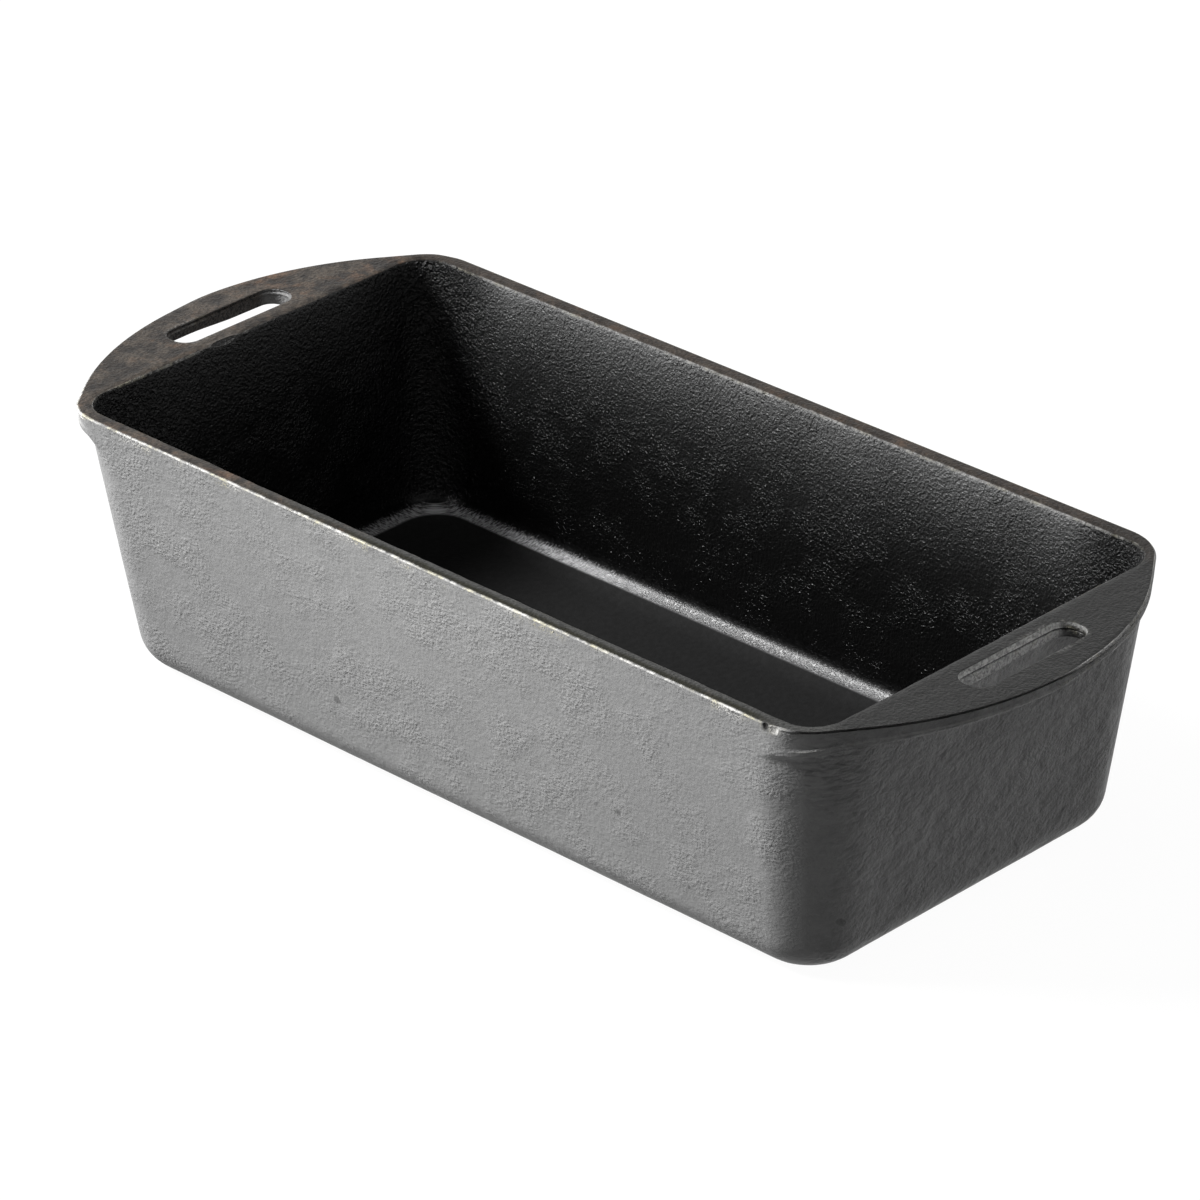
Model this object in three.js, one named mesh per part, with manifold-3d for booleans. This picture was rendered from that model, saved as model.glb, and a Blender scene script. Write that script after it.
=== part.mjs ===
// Cast iron loaf pan: a tapered tub with a flat ground rim and a slotted handle at each end.
// Millimetres, +Z up, +X along the loaf. The origin is the middle of the flat bottom.
// The real pan is one casting. Here each handle's outer bar is parted from the pan along its slot.
import * as THREE from 'three';
import { mergeVertices } from 'three/addons/utils/BufferGeometryUtils.js';
import Module from 'manifold-3d';

const wasm = await Module();
wasm.setup();
const degrees = THREE.MathUtils.degToRad;

// Tub: sizes inside are taken at the rim, and every wall leans inwards by its draft on the way down
const insideLength = 250;
const insideWidth = 118.5;
const height = 72.6;
const sideRimWidth = 4.75;
const endRimWidth = 5.5;
const floorThickness = 5;
const outerSideDraft = degrees(6.75);
const outerEndDraft = degrees(8.4);
const innerSideDraft = degrees(5.8);
const innerEndDraft = degrees(7.4);
const outerCornerAtRim = 20;
const outerCornerAtBottom = 14.7;
const innerCornerAtRim = 8.5;
const innerCornerAtFloor = 14;
const bottomEdgeRadius = 9;
const floorFillet = 9;
const innerRimRound = 0.8;

// Handles: a bowed plate level with the rim, thin at its tip and deeper towards the wall.
// The bow ends a shoulder's width inside the pan's side, and runs straight from there to the rounded corner.
const handleBarWidth = 9;
const handleBowRadius = 83;
const handleShoulder = 14.2;
const handleCornerRadius = 16;
const handleTipThickness = 3.5;
const handleUndersideSlope = degrees(4);
const handleCoveDepth = 0.8;
const cornerCoveDepth = 3.4;
const handleEdgeRound = 1.2;
const handleRoundShare = 0.08;

// Slots: one through each handle, narrowing downwards by its draft
const slotLength = 38.9;
const slotWidth = 9.5;
const slotCornerRadius = 4.25;
const slotWeb = 5.25;
const slotDraft = degrees(3);
const cutOvershoot = 2;

// Facets round a quarter of a ring, and across the roundings
const endSteps = 10;
const cornerSteps = 8;
const sideSteps = 2;
const bowSteps = 13;
const handleCornerSteps = endSteps + cornerSteps - bowSteps - 1;
const roundSteps = 4;
const coveSteps = 4;
const slotSteps = { end: 1, corner: 4, side: 1 };
const tubSteps = { end: endSteps, corner: cornerSteps, side: sideSteps };

// Places that follow from the sizes above
const outerHalfWidth = insideWidth / 2 + sideRimWidth;
const slotCentreX = insideLength / 2 + slotWeb + slotWidth / 2;
const handleTipX = slotCentreX + slotWidth / 2 + handleBarWidth;
const bowCentreX = handleTipX - handleBowRadius;
const bowAngle = Math.asin((outerHalfWidth - handleShoulder) / handleBowRadius);
const shoulderDistance = bowCentreX * Math.cos(bowAngle) + handleBowRadius;
const handleCornerY = outerHalfWidth - handleCornerRadius;
const handleCornerX = (shoulderDistance - handleCornerRadius - handleCornerY * Math.sin(bowAngle))
  / Math.cos(bowAngle);

// Plan sections of the tub, outside and inside, at a height above the bottom
function outerSection(z) {
  const drop = height - z;
  return {
    halfLength: insideLength / 2 + endRimWidth - drop * Math.tan(outerEndDraft),
    halfWidth: outerHalfWidth - drop * Math.tan(outerSideDraft),
    radius: THREE.MathUtils.lerp(outerCornerAtBottom, outerCornerAtRim, z / height),
  };
}

function innerSection(z) {
  const drop = height - z;
  const rise = (z - floorThickness) / (height - floorThickness);
  return {
    halfLength: insideLength / 2 - drop * Math.tan(innerEndDraft),
    halfWidth: insideWidth / 2 - drop * Math.tan(innerSideDraft),
    radius: THREE.MathUtils.lerp(innerCornerAtFloor, innerCornerAtRim, rise),
  };
}

function grown(section, by) {
  return {
    halfLength: section.halfLength + by,
    halfWidth: section.halfWidth + by,
    radius: section.radius + by,
  };
}

// A quarter of a rounded rectangle, from the middle of the +X end to the middle of the +Y side
function roundedQuarter({ halfLength, halfWidth, radius }, steps) {
  const cornerX = halfLength - radius;
  const cornerY = halfWidth - radius;
  const points = [];
  for (let i = 0; i < steps.end; i++) {
    points.push(new THREE.Vector2(halfLength, cornerY * i / steps.end));
  }
  for (let i = 0; i <= steps.corner; i++) {
    const angle = Math.PI / 2 * i / steps.corner;
    points.push(new THREE.Vector2(cornerX + radius * Math.cos(angle), cornerY + radius * Math.sin(angle)));
  }
  for (let i = 1; i <= steps.side; i++) {
    points.push(new THREE.Vector2(cornerX * (1 - i / steps.side), halfWidth));
  }
  return points;
}

// A quarter of the rim's outline: the handle's bow, its rounded corner, then the straight side
function rimQuarter(inset) {
  const points = [];
  for (let i = 0; i <= bowSteps; i++) {
    const angle = bowAngle * i / bowSteps;
    const radius = handleBowRadius - inset;
    points.push(new THREE.Vector2(bowCentreX + radius * Math.cos(angle), radius * Math.sin(angle)));
  }
  for (let i = 0; i <= handleCornerSteps; i++) {
    const angle = THREE.MathUtils.lerp(bowAngle, Math.PI / 2, i / handleCornerSteps);
    const radius = handleCornerRadius - inset;
    points.push(new THREE.Vector2(
      handleCornerX + radius * Math.cos(angle), handleCornerY + radius * Math.sin(angle)));
  }
  for (let i = 1; i <= sideSteps; i++) {
    points.push(new THREE.Vector2(handleCornerX * (1 - i / sideSteps), outerHalfWidth - inset));
  }
  return points;
}

// Mirrors a quarter into a whole ring, counter-clockwise seen from above
function wholeRing(quarter) {
  const forward = quarter.slice(0, -1);
  const backward = quarter.slice(1).reverse();
  const mirrored = (points, signX, signY) => (
    points.map((p) => new THREE.Vector3(signX * p.x, signY * p.y, p.z)));
  return [
    ...mirrored(forward, 1, 1), ...mirrored(backward, -1, 1),
    ...mirrored(forward, -1, -1), ...mirrored(backward, 1, -1),
  ];
}

function levelRing(quarter, z) {
  return wholeRing(quarter.map((p) => new THREE.Vector3(p.x, p.y, z)));
}

// Rings of a rounding between a flat floor and a wall, from the floor upwards
function footRings(sectionAt, floorZ, radius) {
  const rings = [];
  for (let i = 0; i <= roundSteps; i++) {
    const angle = Math.PI / 2 * i / roundSteps;
    const z = floorZ + radius * (1 - Math.cos(angle));
    const section = grown(sectionAt(z), -radius * (1 - Math.sin(angle)));
    rings.push(levelRing(roundedQuarter(section, tubSteps), z));
  }
  return rings;
}

// How deep the handle's outer edge reaches below the rim, at a distance x from the pan's middle
function edgeDepth(x) {
  return handleTipThickness + Math.tan(handleUndersideSlope) * (handleTipX - Math.max(x, handleCornerX));
}

// How deep the cove under the lip is in a column. It deepens round the tub's corner, where the lip is narrow.
function coveDepth(column) {
  const turn = Math.PI / 2 * THREE.MathUtils.clamp((column - endSteps) / cornerSteps, 0, 1);
  return THREE.MathUtils.lerp(handleCoveDepth, cornerCoveDepth, Math.sin(turn) ** 2);
}

// Stations of the handle's underside: how far out from the wall, the share of the cove's depth, and the rise
function undersideStations() {
  const stations = [];
  const flatShare = 1 - handleRoundShare;
  for (let i = 0; i <= coveSteps; i++) {
    const out = flatShare * i / coveSteps;
    stations.push({ out, coveShare: (1 - out) ** 3, rise: 0 });
  }
  for (const angle of [Math.PI / 4, Math.PI / 2]) {
    stations.push({
      out: flatShare + handleRoundShare * Math.sin(angle),
      coveShare: 0,
      rise: handleEdgeRound * (1 - Math.cos(angle)),
    });
  }
  return stations;
}

// Rings from the outer wall out along the handles' underside and up their edge to the rim
function lipRings() {
  const rim = rimQuarter(0);
  const rings = undersideStations().map(({ out, coveShare, rise }) => wholeRing(rim.map((rimPoint, i) => {
    const depth = edgeDepth(rimPoint.x) + coveDepth(i) * coveShare - rise;
    const wall = roundedQuarter(outerSection(height - depth), tubSteps)[i];
    const edge = rimQuarter(depth * Math.tan(outerSideDraft))[i];
    const point = wall.clone().lerp(edge, out);
    return new THREE.Vector3(point.x, point.y, height - depth);
  })));
  return [...rings, levelRing(rim, height)];
}

// Rings of the rounded inner edge of the rim, from the flat rim down into the tub
function innerRimRings() {
  const rings = [];
  for (const angle of [0, Math.PI / 4, Math.PI / 2]) {
    const z = height - innerRimRound * (1 - Math.cos(angle));
    const section = grown(innerSection(z), innerRimRound * (1 - Math.sin(angle)));
    rings.push(levelRing(roundedQuarter(section, tubSteps), z));
  }
  return rings;
}

// A closed body through rings of equal count, with a fan across its first and its last ring
function loft(rings) {
  const count = rings[0].length;
  const centre = (ring) => ring.reduce((sum, p) => sum.add(p), new THREE.Vector3()).divideScalar(count);
  const last = rings.length - 1;
  const points = [...rings.flat(), centre(rings[0]), centre(rings[last])];
  const firstCentre = rings.length * count;
  const index = [];
  for (let i = 0; i < count; i++) {
    const next = (i + 1) % count;
    for (let r = 0; r < last; r++) {
      const low = r * count;
      const high = low + count;
      index.push(low + i, low + next, high + next, low + i, high + next, high + i);
    }
    index.push(firstCentre, next, i);
    index.push(firstCentre + 1, last * count + i, last * count + next);
  }
  const geometry = new THREE.BufferGeometry().setFromPoints(points);
  geometry.setIndex(index);
  return geometry;
}

function solidFrom(geometry) {
  const bare = geometry.clone();
  bare.deleteAttribute('normal');
  bare.deleteAttribute('uv');
  const merged = mergeVertices(bare);
  return new wasm.Manifold(new wasm.Mesh({
    numProp: 3,
    vertProperties: merged.attributes.position.array,
    triVerts: new Uint32Array(merged.index.array),
  }));
}

function geometryFrom(solid) {
  const mesh = solid.getMesh();
  const geometry = new THREE.BufferGeometry();
  geometry.setAttribute('position', new THREE.BufferAttribute(mesh.vertProperties, mesh.numProp));
  geometry.setIndex(new THREE.BufferAttribute(mesh.triVerts, 1));
  geometry.computeVertexNormals();
  return geometry;
}

// The whole casting before its slots: up the outside, over the rim, and down the inside to the floor
function castingSolid() {
  return solidFrom(loft([
    ...footRings(outerSection, 0, bottomEdgeRadius),
    ...lipRings(),
    ...innerRimRings(),
    ...footRings(innerSection, floorThickness, floorFillet).reverse(),
  ]));
}

// The tapered core that leaves a slot through the handle at +X
function slotCore() {
  const deepest = edgeDepth(slotCentreX - slotWidth / 2) + handleCoveDepth + cutOvershoot;
  const slotRing = (drop) => {
    const section = { halfLength: slotWidth / 2, halfWidth: slotLength / 2, radius: slotCornerRadius };
    return levelRing(roundedQuarter(grown(section, -drop * Math.tan(slotDraft)), slotSteps), height - drop);
  };
  const core = loft([slotRing(deepest), slotRing(-cutOvershoot)]);
  return solidFrom(core.translate(slotCentreX, 0, 0));
}

// The space beyond a handle's slot centre line at +X, where its outer bar lies
function handleSpace() {
  const length = handleTipX - slotCentreX + cutOvershoot;
  const width = 2 * (outerHalfWidth + cutOvershoot);
  const depth = height + 2 * cutOvershoot;
  const box = new THREE.BoxGeometry(length, width, depth);
  return solidFrom(box.translate(slotCentreX + length / 2, 0, height / 2));
}

function ironMaterial() {
  return new THREE.MeshStandardMaterial({ color: 0x3c3b39, roughness: 0.55, metalness: 0.6 });
}

function namedMesh(name, geometry) {
  const mesh = new THREE.Mesh(geometry, ironMaterial());
  mesh.name = name;
  return mesh;
}

const halfTurn = [0, 0, 180];
const core = slotCore();
const casting = castingSolid().subtract(core).subtract(core.rotate(halfTurn));
const space = handleSpace();

const pan = new THREE.Group();
pan.name = 'loaf_pan';

const body = casting.subtract(space).subtract(space.rotate(halfTurn));
pan.add(namedMesh('pan_body', geometryFrom(body)));

// Both handles are the same bar: the left one is turned half round the pan's middle
const bar = geometryFrom(casting.intersect(space)).translate(-slotCentreX, 0, -height);
for (const [name, side] of [['right_handle', 1], ['left_handle', -1]]) {
  const handle = namedMesh(name, bar);
  handle.position.set(side * slotCentreX, 0, height);
  handle.rotation.z = side > 0 ? 0 : Math.PI;
  pan.add(handle);
}

export default pan;
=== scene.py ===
import math

import bmesh
import bpy
import numpy as np
from mathutils import Matrix, Vector
from mathutils.bvhtree import BVHTree
from mathutils.geometry import delaunay_2d_cdt


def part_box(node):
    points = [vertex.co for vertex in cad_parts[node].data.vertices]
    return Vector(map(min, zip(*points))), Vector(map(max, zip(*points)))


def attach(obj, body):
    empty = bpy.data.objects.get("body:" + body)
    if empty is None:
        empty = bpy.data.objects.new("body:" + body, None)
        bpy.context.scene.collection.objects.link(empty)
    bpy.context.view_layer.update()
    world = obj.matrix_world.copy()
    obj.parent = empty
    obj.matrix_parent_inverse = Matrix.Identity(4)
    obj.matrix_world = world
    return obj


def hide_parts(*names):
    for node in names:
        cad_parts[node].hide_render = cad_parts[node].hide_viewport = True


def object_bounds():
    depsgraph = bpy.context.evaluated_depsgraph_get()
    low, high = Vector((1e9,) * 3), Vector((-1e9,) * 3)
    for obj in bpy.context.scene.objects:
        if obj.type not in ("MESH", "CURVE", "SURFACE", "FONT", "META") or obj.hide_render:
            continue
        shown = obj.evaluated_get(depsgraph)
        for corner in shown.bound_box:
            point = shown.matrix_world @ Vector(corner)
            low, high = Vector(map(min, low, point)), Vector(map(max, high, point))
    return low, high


# A cast iron loaf pan: one sand casting with a flat ground rim and a slotted handle at each end.
# Metres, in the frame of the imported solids: +X along the loaf, +Z up, and the origin under the middle of
# the bottom.

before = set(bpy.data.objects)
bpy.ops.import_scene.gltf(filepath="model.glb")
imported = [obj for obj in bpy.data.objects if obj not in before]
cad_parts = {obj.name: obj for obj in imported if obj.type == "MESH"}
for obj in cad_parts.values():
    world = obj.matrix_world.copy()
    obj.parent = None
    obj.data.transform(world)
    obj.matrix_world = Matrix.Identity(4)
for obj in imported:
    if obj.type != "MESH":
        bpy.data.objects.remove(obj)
cad_low, cad_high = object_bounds()
mm = 0.001

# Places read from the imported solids
height = cad_high.z
outer_half_width = cad_high.y
handle_tip_x = cad_high.x
slot_centre_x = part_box("right_handle")[0].x

# Tub: walls lean inwards by their draft on the way down
side_rim_width = 4.75 * mm
end_rim_width = 5.5 * mm
floor_thickness = 5 * mm
outer_side_draft = math.radians(6.75)
outer_end_draft = math.radians(8.4)
inner_side_draft = math.radians(5.8)
inner_end_draft = math.radians(7.4)
outer_corner_at_rim = 20 * mm
outer_corner_at_bottom = 14.7 * mm
inner_corner_at_rim = 8.5 * mm
inner_corner_at_floor = 14 * mm
bottom_edge_radius = 9 * mm
floor_fillet = 9 * mm
inner_rim_round = 0.8 * mm
side_edge_round = 0.55 * mm

# Handles: a bowed plate level with the rim, with a straight shoulder and a rounded corner on each side
handle_bow_radius = 83 * mm
handle_shoulder = 14.2 * mm
handle_corner_radius = 16 * mm
handle_tip_thickness = 3.5 * mm
handle_underside_slope = math.radians(4)
handle_cove_depth = 0.8 * mm
handle_cove_power = 3
corner_cove_depth = 4.6 * mm
corner_cove_power = 1.2
crevice_corner_cove_depth = 2.2 * mm
handle_sag = 0.7 * mm
corner_sag = 2.3 * mm
handle_edge_round = 1.2 * mm
handle_round_share = 0.08
handle_fade = (math.radians(18), math.radians(36))

# The near corner of the left handle reaches a little further out than the others
left_corner_reach = 1.5 * mm

# A handle's edge is sharp along one half, over a deep crevice, and rounded along the other, over a fine one
sharp_edge_round = 0.12 * mm
worn_edge_round = 0.7 * mm
crevice_fade = (-10 * mm, 6 * mm)
faint_crevice_share = 0.6

# The bead at the bottom of a handle's edge: how far above the lower rounding, and how deep the edge lies
# behind it
bead_profile = (
    (0.10 * mm, 0.00 * mm),
    (0.22 * mm, 0.06 * mm),
    (0.55 * mm, 0.40 * mm),
)

# The crevice: how far under the rounding of the top, and how deep
crevice_profile = (
    (0.95 * mm, 0.40 * mm),
    (0.80 * mm, 0.45 * mm),
    (0.70 * mm, 1.20 * mm),
    (0.40 * mm, 1.50 * mm),
    (0.14 * mm, 1.20 * mm),
    (0.08 * mm, 0.10 * mm),
    (0.03 * mm, 0.00 * mm),
)

# Slots: one through each handle, narrowing downwards by its draft, with rounded mouths
slot_length = 38.9 * mm
slot_width = 9.5 * mm
slot_corner_radius = 4.25 * mm
slot_web = 5.25 * mm
slot_draft = math.radians(3)
slot_mouth_round = 0.35 * mm
mouth_overshoot = 0.06 * mm
mouth_flare = 0.25 * mm
core_overshoot = 1 * mm

# The slots' walls are uneven: how far below the rim, and how far in or out, for each side of the pan
slot_wall_profiles = {
    1: ((1.60 * mm, -0.20 * mm), (1.75 * mm, 0.20 * mm), (1.95 * mm, 0.20 * mm), (2.15 * mm, -0.10 * mm)),
    -1: ((0.55 * mm, 0.25 * mm), (0.80 * mm, 0.25 * mm), (1.00 * mm, -0.20 * mm), (1.35 * mm, -0.25 * mm),
         (1.55 * mm, 0.00 * mm)),
}

# Columns round a quarter of a ring, and rows along the casting's section
end_columns = 36
corner_columns = 24
side_columns = 80
shoulder_columns = 6
rim_corner_columns = 12
bow_columns = end_columns + corner_columns - shoulder_columns - rim_corner_columns
foot_rows = 10
wall_rows = 40
cove_rows = 12
round_rows = 4
edge_rows = 5
top_rows = 14
slot_corner_columns = 8
slot_side_columns = 24
fill_spacing = 3 * mm
fill_tolerance = 1e-9
fill_inside_only = 1

# Places that follow from the sizes above
inside_half_length = slot_centre_x - slot_width / 2 - slot_web
inside_half_width = outer_half_width - side_rim_width
bow_centre_x = handle_tip_x - handle_bow_radius
bow_angle = math.asin((outer_half_width - handle_shoulder) / handle_bow_radius)
shoulder_distance = bow_centre_x * math.cos(bow_angle) + handle_bow_radius
handle_corner_y = outer_half_width - handle_corner_radius
handle_corner_x = (
    shoulder_distance - handle_corner_radius - handle_corner_y * math.sin(bow_angle)
) / math.cos(bow_angle)


# Sections of the tub in plan

def blend(low, high, share):
    return low + (high - low) * share


def smooth_step(low, high, value):
    share = np.clip((value - low) / (high - low), 0, 1)
    return share * share * (3 - 2 * share)


def outer_section(z):
    """Half length, half width and corner radius of the tub outside, at a height."""
    drop = height - z
    return (
        inside_half_length + end_rim_width - drop * math.tan(outer_end_draft),
        outer_half_width - drop * math.tan(outer_side_draft),
        blend(outer_corner_at_bottom, outer_corner_at_rim, z / height),
    )


def inner_section(z):
    """Half length, half width and corner radius of the tub inside, at a height."""
    drop = height - z
    rise = (z - floor_thickness) / (height - floor_thickness)
    return (
        inside_half_length - drop * math.tan(inner_end_draft),
        inside_half_width - drop * math.tan(inner_side_draft),
        blend(inner_corner_at_floor, inner_corner_at_rim, rise),
    )


quarter_columns = end_columns + corner_columns + side_columns


def mirrored(quarter):
    """Values along a quarter ring, mirrored round a whole one."""
    return np.concatenate([quarter[:-1], quarter[:0:-1], quarter[:-1], quarter[:0:-1]])


# For each column of a whole ring: its quarter's signs, and how far along the end, round the corner and
# along the side it lies
ring_column = mirrored(np.arange(quarter_columns + 1))
ring_sign_x = np.repeat((1, -1, -1, 1), quarter_columns)
ring_sign_y = np.repeat((1, 1, -1, -1), quarter_columns)
ring_along_end = np.clip(ring_column / end_columns, 0, 1)
ring_turn = np.clip((ring_column - end_columns) / corner_columns, 0, 1) * math.pi / 2
ring_along_side = np.clip((ring_column - end_columns - corner_columns) / side_columns, 0, 1)
ring_round_corner = np.sin(ring_turn) ** 2


def tub_ring(section_at, z, grow=0.0):
    """The tub's section at a height, which may differ from column to column."""
    half_length, half_width, radius = (size + grow for size in section_at(z))
    x = (half_length - radius) * (1 - ring_along_side) + radius * np.cos(ring_turn)
    y = (half_width - radius) * ring_along_end + radius * np.sin(ring_turn)
    return np.stack([x * ring_sign_x, y * ring_sign_y, np.broadcast_to(z, x.shape)], axis=1)


def foot_rings(section_at, floor_z, radius):
    """Rings of the rounding between a flat floor and a wall, from the floor upwards."""
    rings = []
    for angle in np.linspace(0, math.pi / 2, foot_rows + 1):
        z = floor_z + radius * (1 - math.cos(angle))
        rings.append(tub_ring(section_at, z, -radius * (1 - math.sin(angle))))
    return rings


# Rim and handles

def rim_outline():
    """A quarter of the rim's outline seen from above, and the direction outwards at each point."""
    bow = np.linspace(0, bow_angle, bow_columns + 1)
    corner = np.linspace(bow_angle, math.pi / 2, rim_corner_columns + 1)
    bow_points = handle_bow_radius * np.stack([np.cos(bow), np.sin(bow)], 1) + (bow_centre_x, 0)
    corner_points = handle_corner_radius * np.stack([np.cos(corner), np.sin(corner)], 1)
    corner_points += (handle_corner_x, handle_corner_y)
    steps = np.arange(1, shoulder_columns)[:, None] / shoulder_columns
    shoulder_points = blend(bow_points[-1], corner_points[0], steps)
    side_x = handle_corner_x * (1 - np.arange(1, side_columns + 1) / side_columns)
    side_points = np.stack([side_x, np.full(side_columns, outer_half_width)], 1)
    points = np.concatenate([bow_points, shoulder_points, corner_points, side_points])
    facing = np.concatenate([
        bow,
        np.full(shoulder_columns - 1, bow_angle),
        corner,
        np.full(side_columns, math.pi / 2),
    ])
    return points, facing


rim_points, rim_facing = rim_outline()
ring_facing = mirrored(rim_facing)
ring_outward = np.stack([np.cos(ring_facing) * ring_sign_x, np.sin(ring_facing) * ring_sign_y], 1)
ring_near_left = (ring_sign_x < 0) & (ring_sign_y < 0)
ring_reach = left_corner_reach * ring_near_left * np.sin(2 * ring_facing) ** 2
rim_ring = np.stack([mirrored(rim_points[:, 0]) * ring_sign_x, mirrored(rim_points[:, 1]) * ring_sign_y], 1)
rim_ring += ring_outward * ring_reach[:, None]
ring_handle_share = smooth_step(*handle_fade, math.pi / 2 - ring_facing)


def crevice_share(x, y):
    """1 along the half of each handle that has the deep crevice, 0 along its other half."""
    return smooth_step(*crevice_fade, -y * np.sign(x))


ring_crevice_share = crevice_share(*rim_ring.T)
ring_top_round = blend(
    side_edge_round, blend(worn_edge_round, sharp_edge_round, ring_crevice_share), ring_handle_share)


def edge_ring(depth, recess=0.0):
    """A ring on the rim's edge, at a depth below the rim and a distance in from the drafted edge."""
    inset = depth * math.tan(outer_side_draft) + recess
    points = rim_ring - ring_outward * inset[:, None]
    return np.column_stack([points, height - depth])


# How deep the handles' outer edge reaches below the rim. It sags on the side of the crevice, and most at
# the corner.
ring_sag = ring_crevice_share * blend(handle_sag, corner_sag, ring_round_corner)
ring_edge_depth = handle_tip_thickness + ring_sag + math.tan(handle_underside_slope) * (
    handle_tip_x - np.maximum(np.abs(rim_ring[:, 0]), handle_corner_x))


def cove_drop(out):
    """How far the cove drops below the lip: deeper and fuller round the corner without the crevice."""
    corner_depth = blend(corner_cove_depth, crevice_corner_cove_depth, ring_crevice_share)
    depth = blend(handle_cove_depth, corner_depth, ring_round_corner)
    return depth * (1 - out) ** blend(handle_cove_power, corner_cove_power, ring_round_corner)


def underside_stations():
    """Stations of a handle's underside: how far out from the wall, and how far its lower edge has risen."""
    flat_share = 1 - handle_round_share
    for out in np.linspace(0, flat_share, cove_rows + 1):
        yield out, 0.0
    for angle in np.linspace(0, math.pi / 2, round_rows + 1)[1:]:
        yield flat_share + handle_round_share * math.sin(angle), handle_edge_round * (1 - math.cos(angle))


def lip_rings():
    """Rings from the outer wall out along the handles' underside, round their lower edge."""
    rings = []
    for out, rise in underside_stations():
        depth = ring_edge_depth + cove_drop(out) - rise
        rings.append(blend(tub_ring(outer_section, height - depth), edge_ring(depth), out))
    return rings


def handle_edge_rings():
    """Rings up the handles' edge, over its bead and past its crevice."""
    lower_edge = ring_edge_depth - handle_edge_round
    crevice_depth_share = blend(faint_crevice_share, 1, ring_crevice_share)
    bead = [edge_ring(lower_edge - rise, recess * ring_handle_share) for rise, recess in bead_profile]
    crevice = []
    for below, recess in crevice_profile:
        crevice.append(edge_ring(ring_top_round + below, recess * ring_handle_share * crevice_depth_share))
    between = [blend(bead[-1], crevice[0], share) for share in np.arange(1, edge_rows) / edge_rows]
    return [*bead, *between, *crevice]


def top_edge_rings():
    """Rings over the rounding between the rim's outer edge and its flat top."""
    rings = []
    for angle in np.linspace(math.pi / 2, 0, round_rows):
        depth = ring_top_round * (1 - math.cos(angle))
        rings.append(edge_ring(depth, ring_top_round * (1 - math.sin(angle))))
    return rings


def wall_rings(section_at, low, high):
    """Rings up a wall, between its rounding below and what it meets above."""
    shares = np.arange(1, wall_rows) / wall_rows
    return [tub_ring(section_at, blend(low, high, share)) for share in shares]


def inner_rim_rings():
    """Rings of the rounded inner edge of the rim, from the flat rim down into the tub."""
    rings = []
    for angle in np.linspace(0, math.pi / 2, round_rows + 1):
        z = height - inner_rim_round * (1 - math.cos(angle))
        rings.append(tub_ring(inner_section, z, inner_rim_round * (1 - math.sin(angle))))
    return rings


def casting_rings():
    """Rings up the outside, over the rim and down the inside to the floor."""
    lip = lip_rings()
    top_edge = top_edge_rings()
    inner_rim = inner_rim_rings()
    flat_shares = np.arange(1, top_rows) / top_rows
    return [
        *foot_rings(outer_section, 0.0, bottom_edge_radius),
        *wall_rings(outer_section, bottom_edge_radius, lip[0][:, 2]),
        *lip,
        *handle_edge_rings(),
        *top_edge,
        *[blend(top_edge[-1], inner_rim[0], share) for share in flat_shares],
        *inner_rim,
        *reversed(wall_rings(inner_section, floor_thickness + floor_fillet, height - inner_rim_round)),
        *reversed(foot_rings(inner_section, floor_thickness, floor_fillet)),
    ]


# The casting as one closed mesh

def flat_fill(ring):
    """Lattice points inside a flat ring, and triangles over the ring's points and those."""
    start = ring[:, :2]
    along = np.roll(start, -1, axis=0) - start
    inward = np.stack([-along[:, 1], along[:, 0]], 1) / np.linalg.norm(along, axis=1)[:, None]
    reach = np.abs(start).max(0)
    lattice = np.stack(np.meshgrid(*[np.arange(-r, r, fill_spacing) for r in reach]), -1).reshape(-1, 2)
    room = np.einsum("lrk,rk->lr", lattice[:, None] - start[None], inward).min(1)
    inner = lattice[room > fill_spacing / 2]
    plan = [Vector(p) for p in np.concatenate([start, inner])]
    outline = list(range(len(ring)))
    _, _, triangles, origins, _, _ = delaunay_2d_cdt(
        plan, [], [outline], fill_inside_only, fill_tolerance)
    triangles = [[origins[corner][0] for corner in triangle] for triangle in triangles]
    points = np.column_stack([inner, np.full(len(inner), ring[0, 2])])
    return points, triangles


def show(name, data):
    """Adds an object to the scene."""
    shown = bpy.data.objects.new(name, data)
    bpy.context.scene.collection.objects.link(shown)
    return shown


def mesh_object(name, points, faces):
    mesh = bpy.data.meshes.new(name)
    mesh.from_pydata(np.asarray(points).tolist(), [], faces)
    mesh.update()
    return show(name, mesh)


def read_vectors(items, field):
    """A vector of each of a mesh's items, as rows of numbers."""
    values = np.zeros(len(items) * 3, np.float32)
    items.foreach_get(field, values)
    return values.reshape(-1, 3)


def loft_faces(ring_count, column_count):
    """Quads between each ring and the next one."""
    faces = []
    for ring in range(ring_count - 1):
        low = ring * column_count
        high = low + column_count
        for column in range(column_count):
            following = (column + 1) % column_count
            faces.append((low + column, low + following, high + following, high + column))
    return faces


def casting_object():
    """The whole casting before its slots are cut."""
    rings = casting_rings()
    count = len(rings[0])
    faces = loft_faces(len(rings), count)
    bottom_points, bottom_triangles = flat_fill(rings[0])
    floor_points, floor_triangles = flat_fill(rings[-1])
    points = np.concatenate([*rings, bottom_points, floor_points])
    first_floor_corner = (len(rings) - 1) * count
    first_bottom_point = len(rings) * count
    first_floor_point = first_bottom_point + len(bottom_points)
    for triangle in bottom_triangles:
        faces.append([c if c < count else c - count + first_bottom_point for c in reversed(triangle)])
    for triangle in floor_triangles:
        faces.append([
            c + first_floor_corner if c < count else c - count + first_floor_point for c in triangle
        ])
    return mesh_object("casting", points, faces)


# Slots and chips, cut out of the casting

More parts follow.
